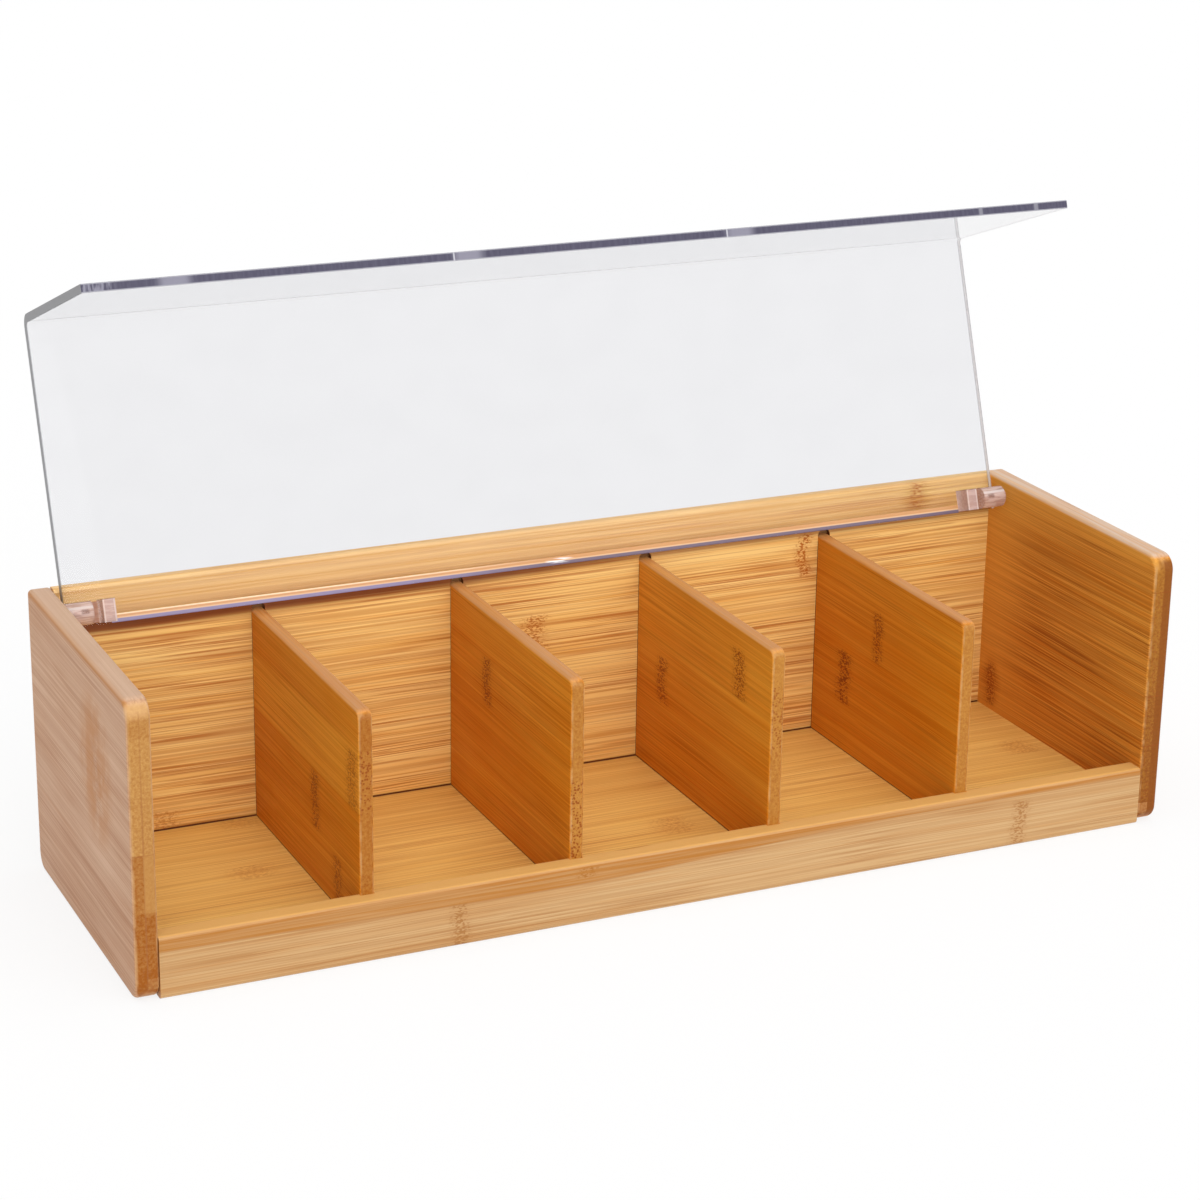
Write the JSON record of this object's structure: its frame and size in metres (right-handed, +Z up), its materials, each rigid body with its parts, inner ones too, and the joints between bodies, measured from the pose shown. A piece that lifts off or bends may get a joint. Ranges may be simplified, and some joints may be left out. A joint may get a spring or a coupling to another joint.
{
  "type": "tea bag organizer box",
  "caption": "Open-front bamboo box divided into bays for tea bags, with a bent clear lid on pin hinges.",
  "frame": {"origin": "middle of the back panel's underside, on the surface that the box stands on", "axes": "+X to the right seen from the front, +Y to the back, +Z up"},
  "size_m": [0.386, 0.1441, 0.218],
  "materials": {
    "bamboo_side": "satin lacquered bamboo, pinkish tan, grain front to back",
    "bamboo_back": "satin lacquered bamboo, honey tan, grain left to right",
    "bamboo_floor": "satin lacquered bamboo, honey tan, grain left to right",
    "bamboo_rail": "satin lacquered bamboo, pale tan, grain left to right",
    "bamboo_divider": "satin lacquered bamboo, warm brown, grain front to back",
    "bamboo_plug": "satin lacquered bamboo end grain, pale",
    "dowel_wood": "plain wood",
    "clear_sheet": "clear polished acrylic",
    "clear_moulding": "clear moulded plastic",
    "pin_steel": "plain steel"
  },
  "bodies": {
    "box": {"left_side_panel": "bamboo_side", "right_side_panel": "bamboo_side", "back_panel": "bamboo_back", "floor_panel": "bamboo_floor", "front_rail": "bamboo_rail", "divider_1": "bamboo_divider", "divider_2": "bamboo_divider", "divider_3": "bamboo_divider", "divider_4": "bamboo_divider", "groove_plug_left": "bamboo_plug", "groove_plug_right": "bamboo_plug", "rail_dowel_left": "dowel_wood", "rail_dowel_right": "dowel_wood", "hinge_pin_left": "pin_steel", "hinge_pin_right": "pin_steel"},
    "lid": {"lid": "clear_sheet", "hinge_block_left": "clear_moulding", "hinge_block_right": "clear_moulding"}
  },
  "joints": [
    {"name": "lid_hinge", "type": "hinge", "parent": "box", "child": "lid", "pos_m": [0, -0.0119, 0.096], "axis": [1, 0, 0], "range_deg": [0, 110]}
  ]
}
